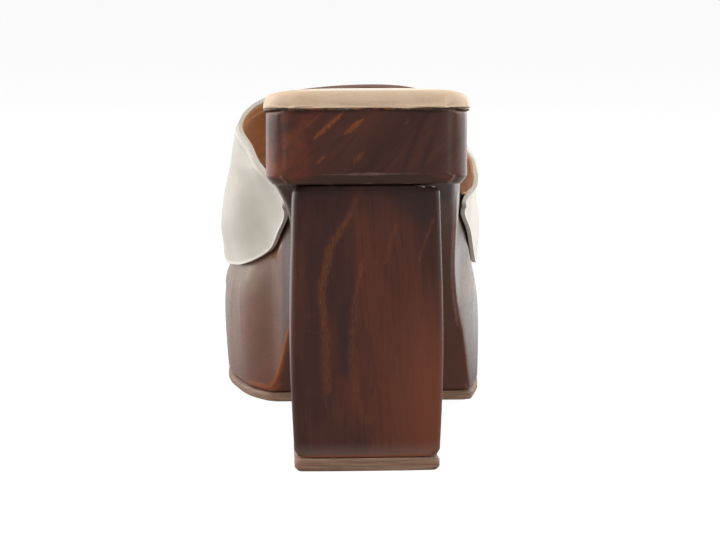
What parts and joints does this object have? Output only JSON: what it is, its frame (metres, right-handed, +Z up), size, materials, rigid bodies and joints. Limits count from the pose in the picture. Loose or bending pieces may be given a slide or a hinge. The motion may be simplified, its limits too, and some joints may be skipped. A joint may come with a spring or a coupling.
{
  "type": "platform sandal",
  "caption": "Open-backed clog sandal: carved wooden platform sole, block heel with a rubber lift, rubber forefoot sole, padded leather insole and one wide leather band over the foot",
  "frame": {"origin": "middle of the shoe's footprint box, on the floor plane", "axes": "+Z up, +Y from the heel to the toe, -X the inner (medial) side of a right foot"},
  "size_m": [0.0984, 0.2468, 0.1262],
  "materials": {
    "wood": "dark stained, satin lacquer",
    "heel_wood": "dark stained, satin lacquer",
    "rubber": "matt grey-brown",
    "insole_leather": "smooth beige",
    "band_leather": "smooth bone white, tan lining"
  },
  "bodies": {
    "root": {"wooden_sole": "wood", "heel_block": "heel_wood", "heel_top_piece": "rubber", "forefoot_outsole": "rubber", "insole": "insole_leather", "upper_band": "band_leather"}
  },
  "joints": []
}
